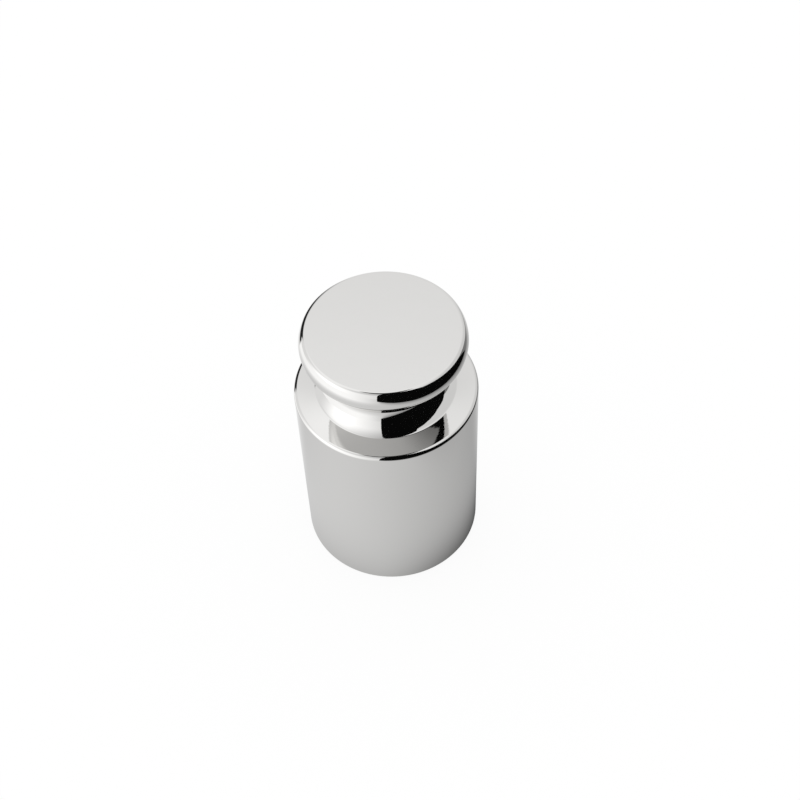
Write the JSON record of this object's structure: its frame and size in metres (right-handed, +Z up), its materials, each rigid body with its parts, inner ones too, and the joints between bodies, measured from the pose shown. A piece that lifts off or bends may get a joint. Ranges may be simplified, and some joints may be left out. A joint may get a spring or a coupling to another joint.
{
  "type": "calibration weight",
  "caption": "Small knob weight turned from solid steel: a tall plain cylinder, a narrow waist and a flat round knob on top, with a flat base and mirror polish.",
  "frame": {"origin": "centre of the flat base, on the surface that the weight stands on", "axes": "+Z up along the turned axis, from the base to the knob"},
  "size_m": [0.0082, 0.0082, 0.0135],
  "materials": {
    "steel": "polished"
  },
  "bodies": {
    "root": {"weight": "steel"}
  },
  "joints": []
}
